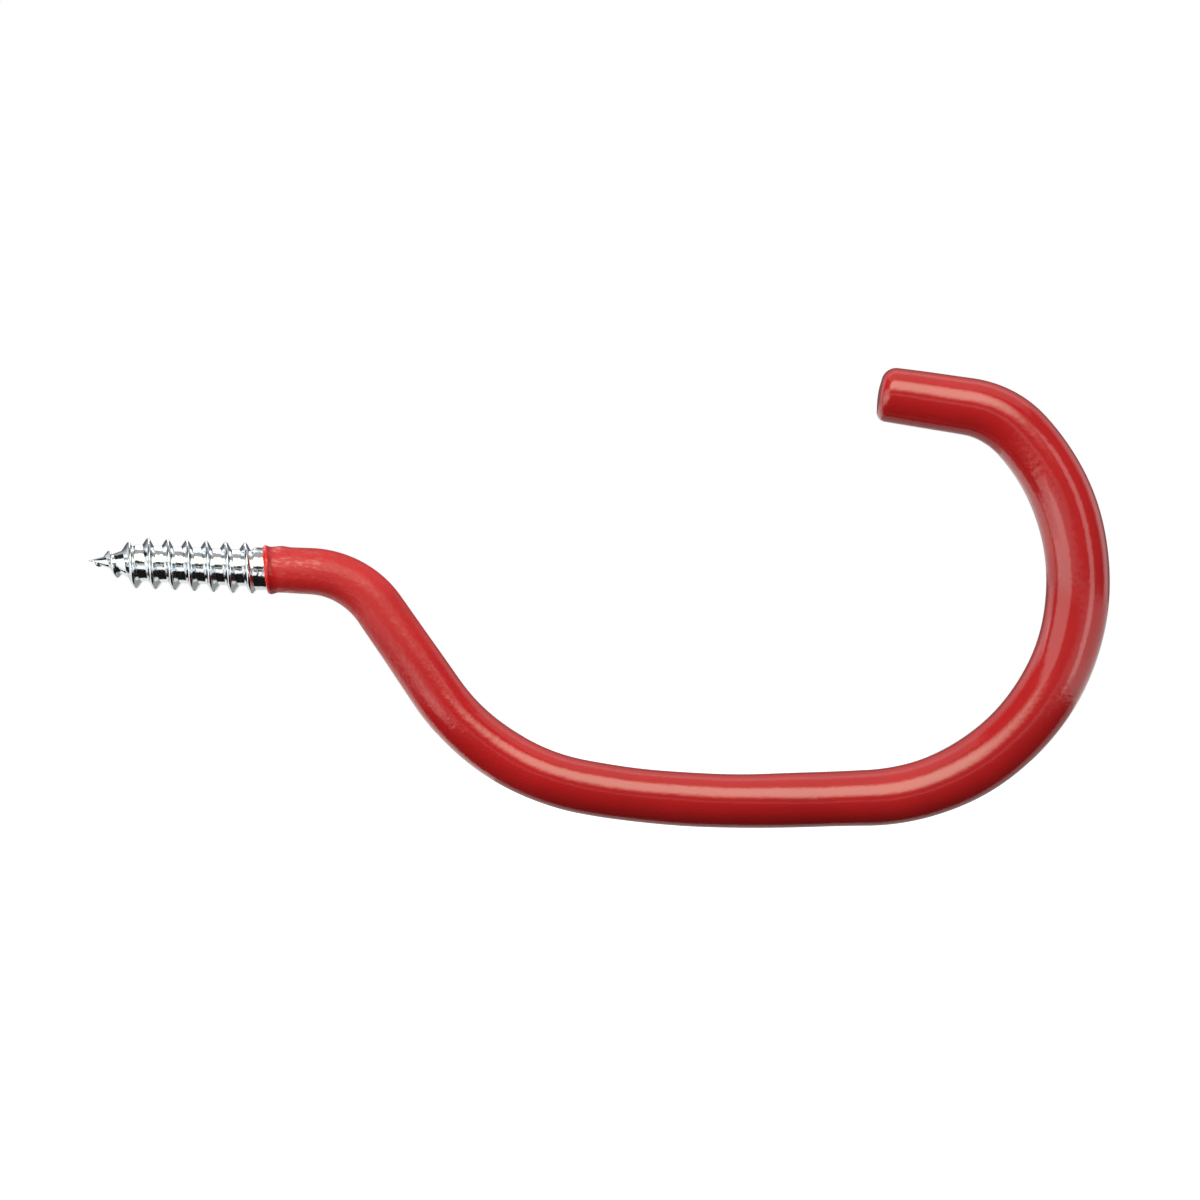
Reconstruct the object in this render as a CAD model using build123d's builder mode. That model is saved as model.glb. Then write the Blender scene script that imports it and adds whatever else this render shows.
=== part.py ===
# Bike hook: a steel rod with a lag screw end, bent into an open hook and dipped in soft vinyl.
# The screw's axis is X, and the hook lies in the XZ plane. The origin is on that axis, in the
# plane of the wall that the coating's end comes up to. +X points out of the wall, +Z up.
import os
from math import atan, degrees, radians, tan

from build123d import *

# Steel rod, in mm
rod_diameter = 7.94
rod_end_chamfer = 0.6

# Line of the bends, from the wall to the tip, in mm and degrees
lead_length = 8.8
neck_radius = 16.5
neck_angle = 52.7
slope_length = 18.7
heel_radius = 42.5
heel_angle = 44.9
sole_radius = 162.0
sole_angle = 12.1
floor_length = 19.1
bowl_radius = 40.5
bowl_angle = 130.5
tip_bend_radius = 17.0
tip_bend_angle = 39.5
tip_length = 15.4

# Screw: 3/8 in lag thread, 7 turns to the inch, with a gimlet point, in mm
screw_length = 33.0
thread_diameter = 9.525
thread_pitch = 3.62857
thread_flank_angle = 30.0
thread_depth = 1.397
thread_root_flat = 1.5621
thread_sink = 0.2
shank_length = 1.9
shank_shoulder = 0.6
point_length = 8.9
point_waist_length = 3.7
point_waist_radius = 1.12
point_thread_length = 9.25
point_thread_inset = 0.9
point_thread_radius = 0.4
point_thread_sink = 0.35
point_thread_share = 0.18
run_out_turn = 0.45
run_out_angle = 30.0

# Vinyl coating: its thickness on the rod, in mm, grows from the wall to the far side of the bowl
coat_at_wall = 0.23
coat_at_neck = 0.36
coat_at_slope = 0.66
coat_at_heel = 0.88
coat_at_sole = 1.03
coat_at_floor = 1.08
coat_at_bowl = 1.22
coat_at_bowl_quarter = 1.62
coat_at_bowl_middle = 1.83
coat_at_tip_bend = 1.7
coat_at_tip_run = 1.4
coat_at_tip = 1.13
coat_cap = 1.3
coat_cap_fillet = 2.2
lip_width = 1.5
lip_height = 0.34

# Values worked out from these
rod_radius = rod_diameter / 2
core_radius = thread_diameter / 2 - thread_depth
flank_slope = tan(radians(thread_flank_angle))
root_half_width = (thread_pitch - thread_root_flat) / 2
crest_half_width = root_half_width - thread_depth * flank_slope
shoulder_x = -shank_length
full_thread_end = shoulder_x - shank_shoulder / 2
full_thread_start = point_thread_length - screw_length
full_thread_length = full_thread_end - full_thread_start
point_helix_length = point_thread_length - point_thread_inset
point_helix_angle = degrees(atan((core_radius - point_thread_radius) / point_helix_length))


def draw_hook_line(last_length):
    """Draw the line of the bends in the open line block and return its stretches in order."""
    lead = Line((0, 0), (lead_length, 0))
    neck = JernArc(lead @ 1, lead % 1, neck_radius, -neck_angle)
    slope = PolarLine(neck @ 1, slope_length, direction=neck % 1)
    heel = JernArc(slope @ 1, slope % 1, heel_radius, heel_angle)
    sole = JernArc(heel @ 1, heel % 1, sole_radius, sole_angle)
    floor = PolarLine(sole @ 1, floor_length, direction=sole % 1)
    bowl = JernArc(floor @ 1, floor % 1, bowl_radius, bowl_angle)
    tip_bend = JernArc(bowl @ 1, bowl % 1, tip_bend_radius, tip_bend_angle)
    tip = PolarLine(tip_bend @ 1, last_length, direction=tip_bend % 1)
    return lead, neck, slope, heel, sole, floor, bowl, tip_bend, tip


def thread_section(helix, place, share, sink):
    """Return the thread's section at a share of its full size, its foot sunk below a place on the helix."""
    at = helix @ place
    along = Vector(1, 0, 0)
    outward = Vector(0, at.Y, at.Z)
    root = root_half_width * share
    crest = crest_half_width * share
    sunk = root + sink * flank_slope
    with BuildSketch(Plane(origin=at, x_dir=along, z_dir=along.cross(outward))) as section:
        with BuildLine():
            Polyline(
                (-sunk, -sink),
                (sunk, -sink),
                (crest, thread_depth * share),
                (-crest, thread_depth * share),
                close=True,
            )
        make_face()
    return section.sketch


# The bent bar, without its screw
with BuildPart() as bar:
    with BuildLine(Plane.XZ) as bar_line:
        draw_hook_line(tip_length)
    with BuildSketch(Plane.YZ):
        Circle(rod_radius)
    sweep(path=bar_line.line)
    bar_tip = bar_line.line @ 1
    chamfer(bar.faces().sort_by_distance(bar_tip)[0].edges(), rod_end_chamfer)

# Steel rod: the bar, its screw blank and the thread
with BuildPart() as steel_rod:
    add(bar.part)
    with BuildSketch(Plane.XZ):
        with BuildLine():
            point_core = ThreePointArc(
                (-screw_length, 0),
                (point_waist_length - screw_length, point_waist_radius),
                (point_length - screw_length, core_radius),
            )
            Polyline(
                point_core @ 1,
                (shoulder_x - shank_shoulder, core_radius),
                (shoulder_x, rod_radius),
                (0, rod_radius),
                (0, 0),
                point_core @ 0,
            )
        make_face()
    revolve(axis=Axis.X)

    # Full thread, from the shank towards the point
    with BuildLine() as full_helix:
        Helix(
            thread_pitch,
            full_thread_length,
            core_radius,
            center=(full_thread_end, 0, 0),
            direction=(-1, 0, 0),
        )
    full_section = thread_section(full_helix.line, 0, 1, thread_sink)
    sweep(full_section, path=full_helix.line, is_frenet=True)

    # Thread on the gimlet point, which goes on where the full thread stops
    with BuildLine() as point_helix:
        point_turn = Helix(
            thread_pitch,
            point_helix_length,
            core_radius,
            center=(full_thread_start, 0, 0),
            direction=(-1, 0, 0),
            cone_angle=-point_helix_angle,
            mode=Mode.PRIVATE,
        )
        add(point_turn.rotate(Axis.X, -360 * full_thread_length / thread_pitch))
    wide_section = thread_section(point_helix.line, 0, 1, point_thread_sink)
    narrow_section = thread_section(point_helix.line, 1, point_thread_share, point_thread_sink)
    sweep([wide_section, narrow_section], path=point_helix.line, multisection=True, is_frenet=True)

    # Run-out, where the thread sinks into the shank
    with BuildLine() as run_out_helix:
        run_out = Helix(
            thread_pitch,
            run_out_turn * thread_pitch,
            core_radius,
            center=(full_thread_end, 0, 0),
            direction=(1, 0, 0),
            cone_angle=-run_out_angle,
            mode=Mode.PRIVATE,
        )
        add(run_out.rotate(Axis.X, 180))
    run_out_section = thread_section(run_out_helix.line, 0, 1, thread_sink)
    sweep(run_out_section, path=run_out_helix.line, is_frenet=True)

# Vinyl coating: a sleeve that thickens along the bar, closed over its tip
with BuildPart() as vinyl_coating:
    with BuildLine(Plane.XZ) as coat_line:
        lead, neck, slope, heel, sole, floor, bowl, tip_bend, tip = draw_hook_line(tip_length + coat_cap)
    stations = (
        (lead, 0, coat_at_wall),
        (neck, 0, coat_at_neck),
        (slope, 0, coat_at_slope),
        (heel, 0, coat_at_heel),
        (sole, 0, coat_at_sole),
        (floor, 0, coat_at_floor),
        (bowl, 0, coat_at_bowl),
        (bowl, 0.25, coat_at_bowl_quarter),
        (bowl, 0.5, coat_at_bowl_middle),
        (tip_bend, 0, coat_at_tip_bend),
        (tip, 0, coat_at_tip_run),
        (tip, 1, coat_at_tip),
    )
    for stretch, place, thickness in stations:
        with BuildSketch(Plane(origin=stretch @ place, z_dir=stretch % place)):
            Circle(rod_radius + thickness)
    sweep(path=coat_line.line, multisection=True)
    coat_tip = coat_line.line @ 1
    fillet(vinyl_coating.faces().sort_by_distance(coat_tip)[0].edges(), coat_cap_fillet)

    # Lip, where the dipped vinyl has gathered at its end
    with BuildSketch(Plane.XZ):
        with BuildLine():
            lip_foot = Line((0, rod_radius), (lip_width, rod_radius))
            lip_back = Line(lip_foot @ 1, (lip_width, rod_radius + coat_at_wall))
            lip_top = rod_radius + coat_at_wall + lip_height
            ThreePointArc(lip_back @ 1, (lip_width / 2, lip_top), (0, rod_radius + coat_at_wall))
            Line((0, rod_radius + coat_at_wall), lip_foot @ 0)
        make_face()
    revolve(axis=Axis.X)
    add(bar.part, mode=Mode.SUBTRACT)

os.makedirs("parts", exist_ok=True)
steel_rod.part.label = "steel_rod"
export_step(steel_rod.part, "parts/steel_rod.step")
vinyl_coating.part.label = "vinyl_coating"
export_step(vinyl_coating.part, "parts/vinyl_coating.step")
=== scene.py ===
from functools import partial
from math import cos, pi, radians, sin, tan

import bpy
import numpy as np
from mathutils import Matrix, Vector


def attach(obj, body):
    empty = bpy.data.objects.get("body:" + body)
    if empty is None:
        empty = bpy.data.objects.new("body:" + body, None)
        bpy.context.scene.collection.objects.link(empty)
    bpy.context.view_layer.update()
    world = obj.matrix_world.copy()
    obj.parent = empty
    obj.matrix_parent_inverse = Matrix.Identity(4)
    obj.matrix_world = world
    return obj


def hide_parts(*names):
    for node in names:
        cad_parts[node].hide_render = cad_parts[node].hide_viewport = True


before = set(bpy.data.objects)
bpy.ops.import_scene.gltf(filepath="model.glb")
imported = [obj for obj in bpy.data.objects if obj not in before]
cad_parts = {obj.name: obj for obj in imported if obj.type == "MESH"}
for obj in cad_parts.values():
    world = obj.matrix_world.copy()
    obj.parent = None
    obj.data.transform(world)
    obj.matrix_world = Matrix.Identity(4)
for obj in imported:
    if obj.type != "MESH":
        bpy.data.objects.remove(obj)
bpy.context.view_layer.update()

MM = 0.001

# Steel rod
rod_radius = 3.97
rod_end_chamfer = 0.6

# Screw
screw_length = 33.0
thread_pitch = 3.62857
thread_radius = 4.7625
thread_depth = 1.397
thread_root_flat = 1.5621
thread_flank_angle = 30.0
thread_rounding = 0.25
thread_top_crest = -3.77
thread_end = -2.2
run_out_length = 1.63
shank_length = 1.9
shank_shoulder = 0.6
point_length = 8.9
point_waist_length = 3.7
point_waist_radius = 1.12
point_thread_length = 9.25
point_thread_inset = 0.9
point_thread_radius = 0.4
point_thread_share = 0.18

# Vinyl coating: its closed tip and its edge at the screw
cap_thickness = 1.3
cap_fillet = 2.3
cap_fillet_change = 0.5
cap_dome = 0.25
edge_rounding = 0.3
edge_middle = 0.25
edge_slant = 0.62
edge_lean = 0.124
edge_free = 9.0

# Ridge in the vinyl over the last turns of the thread: its rise and fade are in turns
ridge_height = 0.42
ridge_half_width = 0.62
ridge_spread = 0.6
ridge_start = -0.05
ridge_pitch = 0.86 * thread_pitch
ridge_rise = (-0.35, 0.25)
ridge_fade = (0.45, 1.55)

# Swells and sag of the vinyl: heights, and the lengths over which each swell turns by a radian
lean_height = 0.030
lean_length = 5.1
twist_height = 0.022
twist_length = 2.9
drift_height = 0.026
drift_length = 11.0
drift_beat = 17.0
swell_growth = 12.0
sag_height = 0.2
sag_start = 97.0
sag_growth = 25.0

# Mesh steps
around_steel = 128
around_vinyl = 112
rounding_samples = 9
first_ring = 0.04
fine_point = 0.6
ring_gap = 0.06
point_rings = 12
screw_rings = 520
bar_rings = 110
bore_rings = 120
edge_rings = 90
edge_crowding = 1.4
skin_rings = 480
cap_rings = 16
dome_ring_shares = (0.75, 0.5, 0.25, 0.08)


def bend(radius, degrees):
    """Return the length and the turn, in radians, of a bend of the rod."""
    return radius * radians(abs(degrees)), radians(degrees)


# Line of the rod, from the wall to its tip: each stretch's length and turn
stretches = {
    "lead": (8.8, 0.0),
    "neck": bend(16.5, -52.7),
    "slope": (18.7, 0.0),
    "heel": bend(42.5, 44.9),
    "sole": bend(162.0, 12.1),
    "floor": (19.1, 0.0),
    "bowl": bend(40.5, 130.5),
    "tip_bend": bend(17.0, 39.5),
    "tip": (15.4, 0.0),
}


def stretch_starts():
    """Return where each stretch of the rod starts, and last where the rod ends."""
    starts = {}
    at = 0.0
    for name, (length, _) in stretches.items():
        starts[name] = at
        at += length
    starts["end"] = at
    return starts


starts = stretch_starts()
bowl_length = stretches["bowl"][0]

# Thickness of the vinyl on the rod, at distances along it
coat_stations = (
    (starts["lead"], 0.23),
    (starts["neck"], 0.36),
    (starts["slope"], 0.66),
    (starts["heel"], 0.88),
    (starts["sole"], 1.03),
    (starts["floor"], 1.08),
    (starts["bowl"], 1.22),
    (starts["bowl"] + bowl_length / 4, 1.62),
    (starts["bowl"] + bowl_length / 2, 1.83),
    (starts["tip_bend"], 1.70),
    (starts["tip"], 1.40),
    (starts["end"] + cap_thickness, 1.13),
)


def smooth_curve(stations, places):
    """Return a smooth curve through the stations, read at the places."""
    x, y = np.array(stations).T
    slope = np.gradient(y, x)
    i = np.clip(np.searchsorted(x, places) - 1, 0, len(x) - 2)
    span = x[i + 1] - x[i]
    t = np.clip((places - x[i]) / span, 0.0, 1.0)
    rise = t * t * (3 - 2 * t)
    start_part = t * (1 - t) ** 2 * span * slope[i]
    end_part = t * t * (t - 1) * span * slope[i + 1]
    return y[i] + (y[i + 1] - y[i]) * rise + start_part + end_part


def smooth_step(low, high, value):
    """Return 0 below low and 1 above high, with a smooth rise between them."""
    t = np.clip((value - low) / (high - low), 0.0, 1.0)
    return t * t * (3 - 2 * t)


def rod_line(distances):
    """Return points (x, z) on the rod's line and its headings, at distances from the wall."""
    points = np.zeros(distances.shape + (2,))
    headings = np.zeros(distances.shape)
    origin = np.zeros(2)
    heading = 0.0
    for name, (length, turn) in stretches.items():
        reached = (distances >= starts[name]) | (name == "lead")
        along = np.append(distances[reached] - starts[name], length)
        turned = turn * along / length
        ahead = along * np.sinc(turned / pi)
        aside = along * np.sin(turned / 2) * np.sinc(turned / (2 * pi))
        forward = np.array((cos(heading), sin(heading)))
        left = np.array((-sin(heading), cos(heading)))
        places = origin + np.outer(ahead, forward) + np.outer(aside, left)
        points[reached] = places[:-1]
        headings[reached] = heading + turned[:-1]
        origin = places[-1]
        heading += turn
    return points, headings


def ring_angles(count):
    """Return angles round the rod: 0 is its upper side, a quarter turn its front."""
    return np.arange(count) * 2 * pi / count


def rings_on_line(distances, radii, angles):
    """Return rings of points round the rod's line, a row of distances and radii for each ring."""
    points, headings = rod_line(distances)
    rise = radii * np.cos(angles)
    rings = np.zeros(radii.shape + (3,))
    rings[..., 0] = points[..., 0] - rise * np.sin(headings)
    rings[..., 1] = -radii * np.sin(angles)
    rings[..., 2] = points[..., 1] + rise * np.cos(headings)
    return rings


def tube_object(name, rings, angles, lengths):
    """Make a closed tube through rings of points, and keep where they would lie on a straight rod."""
    ring_count, around = rings.shape[:2]
    poles = (rings[0].mean(axis=0), rings[-1].mean(axis=0))
    vertices = np.concatenate((rings.reshape(-1, 3), poles)) * MM
    place = np.arange(ring_count * around).reshape(ring_count, around)
    following = np.roll(place, -1, axis=1)
    sides = np.stack((place[:-1], following[:-1], following[1:], place[1:]), axis=-1).reshape(-1, 4)
    first_pole = ring_count * around
    faces = sides.tolist()
    faces += [(first_pole, b, a) for a, b in zip(place[0], following[0])]
    faces += [(first_pole + 1, a, b) for a, b in zip(place[-1], following[-1])]
    mesh = bpy.data.meshes.new(name)
    mesh.from_pydata(vertices.tolist(), [], faces)
    mesh.validate()
    straight = np.zeros((ring_count, around, 3))
    straight[..., 0] = np.cos(angles)
    straight[..., 1] = np.sin(angles)
    straight[..., 2] = lengths[:, None]
    ends = ((0.0, 0.0, lengths[0]), (0.0, 0.0, lengths[-1]))
    layer = mesh.attributes.new("straight_place", "FLOAT_VECTOR", "POINT")
    layer.data.foreach_set("vector", np.concatenate((straight.reshape(-1, 3), ends)).ravel())
    mesh.shade_smooth()
    piece = bpy.data.objects.new(name, mesh)
    bpy.context.scene.collection.objects.link(piece)
    return piece


def thread_profile(from_crest, share):
    """Return the thread's height over its root, at distances from the middle of its crest."""
    flank = thread_depth * tan(radians(thread_flank_angle))
    foot = (thread_pitch - thread_root_flat) / 2
    height = np.zeros(np.broadcast(from_crest, share).shape)
    for offset in np.linspace(-thread_rounding, thread_rounding, rounding_samples):
        inside = (foot * share - np.abs(from_crest + offset)) / (flank * share)
        height += np.minimum(inside, 1.0) / rounding_samples
    return height * thread_depth * share


def screw_radii(x, angles):
    """Return the screw's radius at places along its axis, a row for each place."""
    core = thread_radius - thread_depth
    tip = -screw_length
    shank = np.interp(x, (-shank_length - shank_shoulder, -shank_length), (core, rod_radius))
    lengths = (0.0, point_waist_length, point_length)
    hollow = np.polyfit(lengths, (0.0, point_waist_radius, core), 2)
    blank = np.where(x < tip + point_length, np.polyval(hollow, x - tip), shank)
    crest = thread_top_crest + thread_pitch * angles / (2 * pi)
    turn = np.round((x[:, None] - crest) / thread_pitch)
    crest_x = crest + turn * thread_pitch
    point_start = tip + point_thread_length
    point_end = tip + point_thread_inset
    share = np.interp(crest_x, (point_end, point_start), (point_thread_share, 1.0))
    root = np.interp(crest_x, (point_end, point_start), (point_thread_radius, core))
    sink = thread_depth * smooth_step(thread_end, thread_end + run_out_length, crest_x)
    thread = root + thread_profile(x[:, None] - crest_x, share) - sink
    thread = np.where(crest_x < point_end, 0.0, thread)
    return np.maximum(blank[:, None], thread)


def steel_rod():
    """Make the bare screw and the bent bar behind it, which the vinyl covers."""
    angles = ring_angles(around_steel)
    point_x = np.linspace(first_ring, fine_point, point_rings)
    thread_x = np.linspace(fine_point + ring_gap, screw_length - ring_gap, screw_rings)
    x = np.concatenate((point_x, thread_x)) - screw_length
    screw = np.zeros((len(x), around_steel, 3))
    radii = screw_radii(x, angles)
    screw[..., 0] = x[:, None]
    screw[..., 1] = -radii * np.sin(angles)
    screw[..., 2] = radii * np.cos(angles)
    bar_end = starts["end"]
    distances = np.append(np.linspace(0.0, bar_end - rod_end_chamfer, bar_rings), bar_end)
    bar_radii = np.full(len(distances), rod_radius)
    bar_radii[-1] -= rod_end_chamfer
    every = np.ones(around_steel)
    bar = rings_on_line(np.outer(distances, every), np.outer(bar_radii, every), angles)
    return tube_object("steel_rod_detail", np.concatenate((screw, bar)), angles, np.append(x, distances))


def coat_ridge(x, angles):
    """Return how far the last turns of the thread lift the vinyl at its end."""
    lift = np.zeros(x.shape)
    for turn in range(-1, 3):
        turns_in = turn + angles / (2 * pi)
        middle = ridge_start + turns_in * ridge_pitch
        fade = smooth_step(*ridge_rise, turns_in) * (1 - smooth_step(*ridge_fade, turns_in))
        reach = (x - middle) / (ridge_half_width + ridge_spread * np.clip(turns_in, 0.0, None))
        lift += ridge_height * fade * np.exp(-reach * reach)
    return lift


def coat_unevenness(s, angles):
    """Return the slow swells of a dipped skin, at freely chosen phases, and its sag."""
    lean = lean_height * np.sin(s / lean_length + 1.3) * np.cos(angles - 0.6)
    twist = twist_height * np.sin(s / twist_length + 2 * angles)
    beat = np.sin(2 * angles + s / drift_beat)
    drift = drift_height * np.sin(s / drift_length - angles + 0.7) * beat
    sag = sag_height * np.sin(2 * angles) * smooth_step(sag_start, sag_start + sag_growth, s)
    return (lean + twist + drift) * smooth_step(0.0, swell_growth, s) - sag


def coat_edge(angles):
    """Return where the vinyl's edge lies along the screw: it slants with the turn of the thread."""
    return edge_middle - edge_slant * np.cos(angles) - edge_lean * np.sin(angles)


def coat_cap(skin_end, fillet, last_radii):
    """Return the places and radii of the rings over the vinyl's closed tip."""
    places = []
    radii = []
    for angle in np.linspace(0.0, pi / 2, cap_rings)[1:]:
        places.append(skin_end - fillet * (1 - sin(angle)))
        radii.append(last_radii - fillet * (1 - cos(angle)))
    for share in dome_ring_shares:
        places.append(np.full(last_radii.shape, skin_end + cap_dome * (1 - share * share)))
        radii.append((last_radii - fillet) * share)
    return places, radii


def vinyl_coating():
    """Make the dipped skin: its bore, its edge at the screw, its outer side and its closed tip."""
    angles = ring_angles(around_vinyl)
    every = np.ones(around_vinyl)
    skin_end = starts["end"] + cap_thickness
    edge = coat_edge(angles)
    bore_places = np.outer(np.linspace(starts["end"], edge_free, bore_rings), every)
    bore = rings_on_line(bore_places, np.full(bore_places.shape, rod_radius), angles)
    fillet = cap_fillet - cap_fillet_change * np.cos(angles)
    near = edge + np.outer(np.linspace(0.0, 1.0, edge_rings) ** edge_crowding, edge_free - edge)
    far = edge_free + np.outer(np.linspace(0.0, 1.0, skin_rings)[1:], skin_end - fillet - edge_free)
    places = np.concatenate((near, far))
    radii = rod_radius + smooth_curve(coat_stations, places)
    radii = radii + coat_ridge(places, angles) + coat_unevenness(places, angles)
    from_edge = np.clip((places - edge) / edge_rounding, 0.0, 1.0)
    radii = rod_radius + (radii - rod_radius) * np.sqrt(1 - (1 - from_edge) ** 2)
    cap_places, cap_radii = coat_cap(skin_end, fillet, radii[-1])
    places = np.concatenate((places, cap_places))
    outer = rings_on_line(places, np.concatenate((radii, cap_radii)), angles)
    rings = np.concatenate((bore, outer))
    lengths = np.append(bore_places[:, 0], places[:, 0])
    return tube_object("vinyl_coating_detail", rings, angles, lengths)


def set_socket(socket, value):
    """Set a node's input to a value, or link another node's output to it."""
    if isinstance(value, bpy.types.NodeSocket):
        socket.id_data.links.new(value, socket)
    else:
        socket.default_value = value


def set_inputs(node, **inputs):
    """Set a node's inputs by their names, with _ for each space in them."""
    for key, value in inputs.items():
        set_socket(node.inputs[key.replace("_", " ")], value)


def add_node(tree, kind, settings=None, **inputs):
    """Add a node to a tree, with its settings and its inputs."""
    node = tree.nodes.new(kind)
    for key, value in (settings or {}).items():
        setattr(node, key, value)
    set_inputs(node, **inputs)
    return node


def add_range(tree, value, given, wanted, settings=None):
    """Add a map of a value from a given range to a wanted one, and return its result."""
    ends = {"From_Min": given[0], "From_Max": given[1], "To_Min": wanted[0], "To_Max": wanted[1]}
    return add_node(tree, "ShaderNodeMapRange", settings, Value=value, **ends).outputs["Result"]


def add_ramp(tree, value, *stops):
    """Add a ramp that turns a value into the linear colours of its stops, and return its colour."""
    ramp = add_node(tree, "ShaderNodeValToRGB", Fac=value)
    elements = ramp.color_ramp.elements
    while len(elements) < len(stops):
        elements.new(0.5)
    for element, (position, color) in zip(elements, stops):
        element.position = position
        element.color = (*color, 1.0)
    return ramp.outputs["Color"]


def add_grey_ramp(tree, value, *stops):
    """Add a ramp that turns a value into the levels of its stops, and return its level."""
    return add_ramp(tree, value, *((position, (level,) * 3) for position, level in stops))


def add_noise(tree, place, scale, detail, roughness):
    """Add a noise of a scale, detail and roughness, and return its level."""
    inputs = {"Vector": place, "Scale": scale, "Detail": detail, "Roughness": roughness}
    return add_node(tree, "ShaderNodeTexNoise", **inputs).outputs["Fac"]


def add_mix(tree, share, first, second, kind="FLOAT"):
    """Add a mix of two levels or colours, and return its result."""
    mix = add_node(tree, "ShaderNodeMix", {"data_type": kind}, Factor=share, A=first, B=second)
    return mix.outputs["Result"]


def add_math(tree, operation, *operands):
    """Add an operation on its operands, and return its result."""
    node = add_node(tree, "ShaderNodeMath", {"operation": operation})
    for socket, operand in zip(node.inputs, operands):
        set_socket(socket, operand)
    return node.outputs["Value"]


def new_material(name):
    """Return a new material and its principled shader."""
    material = bpy.data.materials.new(name)
    material.use_nodes = True
    return material, material.node_tree.nodes["Principled BSDF"]


def vinyl_color(tree, place, along, way):
    """Return the vinyl's red: deep, brighter by the screw, with a bright and a dark line at its edge; the
    bright line is the thin vinyl's own tone plus a painted glow of light through the lip.
    """
    ramp = partial(add_ramp, tree)
    clouds = add_noise(tree, place, 70.0, 3.0, 0.5)
    deep = ramp(clouds, (0.3, (0.39, 0.0120, 0.0140)), (0.7, (0.45, 0.0145, 0.0165)))
    bright = ramp(clouds, (0.3, (0.45, 0.0125, 0.0145)), (0.7, (0.51, 0.0150, 0.0170)))
    thin = add_range(tree, way, (0.45, 0.95), (1.0, 0.0))
    body = add_mix(tree, thin, deep, bright, "RGBA")
    from_edge = add_range(tree, along, (-0.4, 2.1), (0.0, 1.0))
    # Lip: a bright orange-red ring, the thin vinyl's tone plus a painted glow of light shining through it,
    # then a darker band.
    edge = ramp(
        from_edge,
        (0.0, (0.66, 0.0090, 0.0040)),
        (0.24, (0.62, 0.0090, 0.0050)),
        (0.40, (0.30, 0.0080, 0.0100)),
        (0.62, (0.44, 0.0110, 0.0130)),
    )
    edge_share = add_range(tree, from_edge, (0.6, 1.0), (1.0, 0.0))
    return add_mix(tree, edge_share, body, edge, "RGBA")


def vinyl_roughness(tree, grain, way):
    """Return the vinyl's roughness: satin by the screw and glossy from the heel on."""
    satin = add_range(tree, grain, (0.0, 1.0), (0.34, 0.48))
    gloss = add_range(tree, grain, (0.0, 1.0), (0.11, 0.18))
    dull = add_grey_ramp(tree, way, (0.0, 0.4), (0.03, 1.0), (0.24, 0.9), (0.34, 0.55), (0.50, 0.0))
    return add_mix(tree, dull, gloss, satin)


def vinyl_normal(tree, grain, streaks, way):
    """Return the vinyl's bump: lengthwise folds, which are deepest by the screw, under a fine grain."""
    depth = add_range(tree, way, (0.28, 0.60), (0.5, 0.05))
    bump = partial(add_node, tree, "ShaderNodeBump", Distance=0.0002)
    folds = bump(Strength=depth, Height=streaks).outputs["Normal"]
    return bump(Strength=0.16, Height=grain, Normal=folds).outputs["Normal"]


def vinyl_coat(tree, streaks, way):
    """Return the weight of the vinyl's shine: streaky by the screw and full from the heel on."""
    least = add_grey_ramp(tree, way, (0.30, 0.0), (0.50, 1.0))
    most = add_grey_ramp(tree, way, (0.08, 1.0), (0.14, 0.3), (0.28, 0.3), (0.45, 1.0))
    return add_range(tree, streaks, (0.47, 0.60), (least, most))


def red_vinyl():
    """Soft red vinyl: a deep glossy red, brighter and duller by the screw, where the skin is thin."""
    material, shader = new_material("red_vinyl_look")
    tree = material.node_tree
    place = add_node(tree, "ShaderNodeTexCoord").outputs["Object"]
    kept_place = add_node(tree, "ShaderNodeAttribute", {"attribute_name": "straight_place"})
    straight = kept_place.outputs["Vector"]
    along = add_node(tree, "ShaderNodeSeparateXYZ", Vector=straight).outputs["Z"]
    way = add_range(tree, along, (0.0, 100.0), (0.0, 1.0))
    grain = add_noise(tree, place, 900.0, 2.0, 0.55)
    stretched = add_node(tree, "ShaderNodeMapping", Vector=straight, Scale=(6.0, 6.0, 0.7))
    streaks = add_noise(tree, stretched.outputs["Vector"], 1.0, 3.0, 0.6)
    normal = vinyl_normal(tree, grain, streaks, way)
    set_inputs(
        shader,
        Base_Color=vinyl_color(tree, place, along, way),
        Roughness=vinyl_roughness(tree, grain, way),
        IOR=1.45,
        Normal=normal,
        Coat_Weight=vinyl_coat(tree, streaks, way),
        Coat_Roughness=0.14,
        Coat_IOR=1.5,
        Coat_Normal=normal,
    )
    return material


def zinc_plate():
    """Bright zinc plating on a rolled thread: near mirror, with fine flecks."""
    material, shader = new_material("zinc_plate_look")
    tree = material.node_tree
    place = add_node(tree, "ShaderNodeTexCoord").outputs["Object"]
    flecks = add_noise(tree, place, 500.0, 3.0, 0.6)
    bump = add_node(tree, "ShaderNodeBump", Strength=0.3, Distance=0.0003, Height=flecks)
    set_inputs(
        shader,
        Base_Color=add_ramp(tree, flecks, (0.3, (0.76, 0.82, 0.88)), (0.7, (0.88, 0.92, 0.96))),
        Metallic=1.0,
        Roughness=add_range(tree, flecks, (0.0, 1.0), (0.06, 0.16)),
        Normal=bump.outputs["Normal"],
    )
    return material


def place_piece(piece, node, material):
    """Give a piece its material and let it stand for its solid."""
    piece.data.materials.append(material)
    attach(piece, "root")
    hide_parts(node)


place_piece(steel_rod(), "steel_rod", zinc_plate())
place_piece(vinyl_coating(), "vinyl_coating", red_vinyl())

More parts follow.
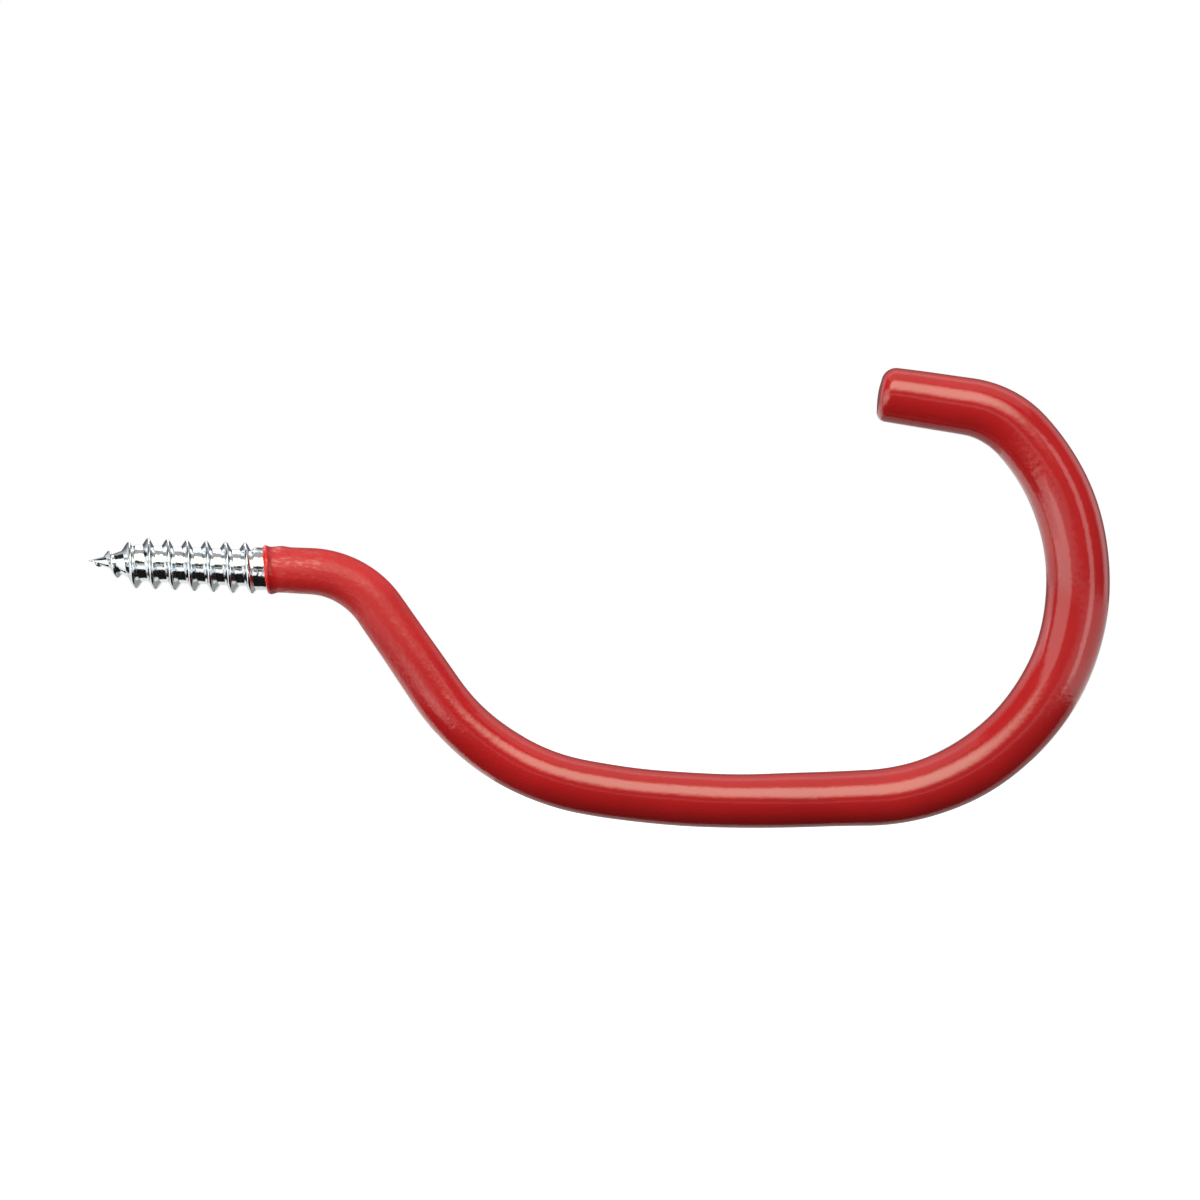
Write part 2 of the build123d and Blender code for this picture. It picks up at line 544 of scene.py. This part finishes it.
# Camera: it looks along +Y at the hook's side, a little rolled, with the frame's width at the hook
camera_distance = 1200.0
frame_width = 224.0
frame_centre = (62.9, 0.0, -2.8)
camera_roll = radians(2.72)
sensor_width = 36.0

# Stage
floor_height = -0.16
floor_reach = 6.0
floor_glow = 0.75
card_height = -0.12
white_card_height = -0.035


def make_camera():
    """Make the camera at the photograph's angle."""
    data = bpy.data.cameras.new("camera")
    data.sensor_width = sensor_width
    data.lens = sensor_width * camera_distance / frame_width
    data.clip_end = 20.0
    camera = bpy.data.objects.new("camera", data)
    bpy.context.scene.collection.objects.link(camera)
    right = Vector((cos(camera_roll), 0.0, sin(camera_roll)))
    back = Vector((0.0, -1.0, 0.0))
    up = back.cross(right)
    turn = Matrix((right, up, back)).transposed()
    centre = Vector(frame_centre) * MM
    camera.matrix_world = Matrix.Translation(centre + back * camera_distance * MM) @ turn.to_4x4()
    bpy.context.scene.camera = camera


def softbox(name, place, aim, width, height, radiance, blue, shape="RECTANGLE", mirrored=True):
    """Make a soft lamp that faces its aim: warmer with less blue, and in reflections if mirrored."""
    area = width * height if shape == "RECTANGLE" else width * height * pi / 4
    green = 0.75 + 0.25 * blue
    data = bpy.data.lights.new(name, "AREA")
    data.shape = shape
    data.size = width
    data.size_y = height
    data.energy = radiance * pi * area
    data.color = (1.0, green, blue)
    lamp = bpy.data.objects.new(name, data)
    bpy.context.scene.collection.objects.link(lamp)
    lamp.location = place
    lamp.rotation_euler = (Vector(aim) - Vector(place)).to_track_quat("-Z", "Y").to_euler()
    lamp.visible_camera = False
    lamp.visible_glossy = mirrored
    return lamp


def soften_edge(lamp):
    """Let a lamp's light fall off from its middle to its edge, as a softbox's does."""
    lamp.data.use_nodes = True
    tree = lamp.data.node_tree
    face = add_node(tree, "ShaderNodeNewGeometry").outputs["Parametric"]
    from_middle = add_node(tree, "ShaderNodeVectorMath", {"operation": "DISTANCE"}, Vector=face)
    from_middle.inputs[1].default_value = (0.5, 0.5, 0.0)
    smooth = {"interpolation_type": "SMOOTHSTEP"}
    level = add_range(tree, from_middle.outputs["Value"], (0.2, 0.52), (1.0, 0.0), smooth)
    set_inputs(tree.nodes["Emission"], Strength=level)


def make_lamps():
    """Make the lamps: a warm key from above the camera, fill from all round, and a bounce from below."""
    middle = (0.1, 0.0, 0.0)
    key = softbox(
        "top_softbox",
        place=(0.045, -0.485, 0.385),
        aim=middle,
        width=0.92,
        height=0.68,
        radiance=3.4,
        blue=0.76,
        shape="ELLIPSE",
    )
    soften_edge(key)
    softbox(
        "overhead_softbox",
        place=(0.1, 0.0, 0.5),
        aim=middle,
        width=0.8,
        height=0.45,
        radiance=0.4,
        blue=0.9,
    )
    softbox(
        "left_softbox",
        place=(-0.36, -0.24, -0.02),
        aim=(-0.05, 0.15, -0.02),
        width=0.56,
        height=0.46,
        radiance=1.15,
        blue=0.9,
    )
    softbox(
        "right_softbox",
        place=(0.51, -0.415, 0.06),
        aim=(0.15, 0.0, 0.06),
        width=0.18,
        height=0.62,
        radiance=1.35,
        blue=0.9,
    )
    softbox(
        "back_softbox",
        place=(-0.022, 0.03, 0.04),
        aim=(-0.022, 0.0, 0.0),
        width=0.034,
        height=0.06,
        radiance=1.3,
        blue=1.0,
    )
    softbox(
        "rear_softbox",
        place=(0.06, 0.75, 0.42),
        aim=(0.08, 0.0, 0.0),
        width=1.0,
        height=0.3,
        radiance=2.2,
        blue=0.9,
        mirrored=False,
    )
    softbox(
        "floor_bounce",
        place=(0.07, 0.03, -0.115),
        aim=(0.07, 0.0, 0.0),
        width=0.4,
        height=0.3,
        radiance=0.45,
        blue=0.9,
        mirrored=False,
    )


def plane_object(name, low, high, height, material):
    """Make a flat sheet, from its low to its high corner, at a height."""
    mesh = bpy.data.meshes.new(name)
    corners = [(low[0], low[1]), (high[0], low[1]), (high[0], high[1]), (low[0], high[1])]
    mesh.from_pydata([(x, y, height) for x, y in corners], [], [(0, 1, 2, 3)])
    mesh.materials.append(material)
    sheet = bpy.data.objects.new(name, mesh)
    bpy.context.scene.collection.objects.link(sheet)
    return sheet


def floor_material():
    """Pale floor that reads white to the camera and dimmer in reflections, and takes the hook's shadow."""
    material, shader = new_material("floor_look")
    tree = material.node_tree
    rays = add_node(tree, "ShaderNodeLightPath").outputs
    seen = add_math(tree, "MULTIPLY", rays["Is Camera Ray"], floor_glow)
    bent = add_math(tree, "MAXIMUM", rays["Is Glossy Ray"], rays["Is Transmission Ray"])
    set_inputs(
        shader,
        Base_Color=(0.8, 0.8, 0.8, 1.0),
        Roughness=0.9,
        Specular_IOR_Level=0.0,
        Emission_Color=(1.0, 1.0, 1.0, 1.0),
        Emission_Strength=add_math(tree, "MULTIPLY_ADD", bent, 0.05, seen),
    )
    return material


def card_material(name, level):
    """Matt card of a grey level."""
    material, shader = new_material(name)
    set_inputs(shader, Base_Color=(level, level, level, 1.0), Roughness=1.0, Specular_IOR_Level=0.0)
    return material


def make_cards():
    """Make cards under the hook: reflections see them, diffuse light may, and the camera doesn't."""
    black = card_material("black_card_look", 0.008)
    grey = card_material("grey_card_look", 0.3)
    white = card_material("white_card_look", 0.9)
    for name, low, high, height, look, in_diffuse in (
        ("black_card", (-0.06, -0.45), (0.36, 0.045), card_height, black, True),
        ("black_card_near_camera", (-0.06, -1.0), (0.36, -0.45), card_height, black, False),
        ("black_card_left", (-0.12, -0.1), (-0.06, 0.045), card_height, black, True),
        ("grey_card", (0.0, 0.045), (0.36, 0.45), card_height, grey, True),
        ("white_card", (-0.045, -0.12), (-0.001, -0.047), white_card_height, white, True),
    ):
        card = plane_object(name, low, high, height, look)
        card.visible_camera = False
        card.visible_shadow = False
        card.visible_diffuse = in_diffuse


def studio_world():
    """White for the camera, even grey for diffuse light, and a dim room with a pale ring in reflections."""
    world = bpy.data.worlds.new("studio")
    bpy.context.scene.world = world
    world.use_nodes = True
    tree = world.node_tree
    direction = add_node(tree, "ShaderNodeTexCoord").outputs["Generated"]
    axes = add_node(tree, "ShaderNodeSeparateXYZ", Vector=direction).outputs
    rise = add_range(tree, axes["Z"], (0.3, 0.6), (0.85, 0.45))
    far = add_range(tree, axes["Y"], (0.5, 0.8), (rise, 0.12))
    depth = add_range(tree, axes["Y"], (0.1, 0.3), (0.02, far))
    rays = add_node(tree, "ShaderNodeLightPath").outputs
    ambient = add_mix(tree, rays["Is Glossy Ray"], 0.62, depth)
    strength = add_mix(tree, rays["Is Camera Ray"], ambient, 1.0)
    set_inputs(tree.nodes["Background"], Color=(1.0, 1.0, 1.0, 1.0), Strength=strength)


make_camera()
studio_world()
make_lamps()
floor_corners = ((-floor_reach, -floor_reach), (floor_reach, floor_reach))
plane_object("floor", *floor_corners, floor_height, floor_material())
make_cards()

bpy.context.scene.view_settings.view_transform = "Standard"
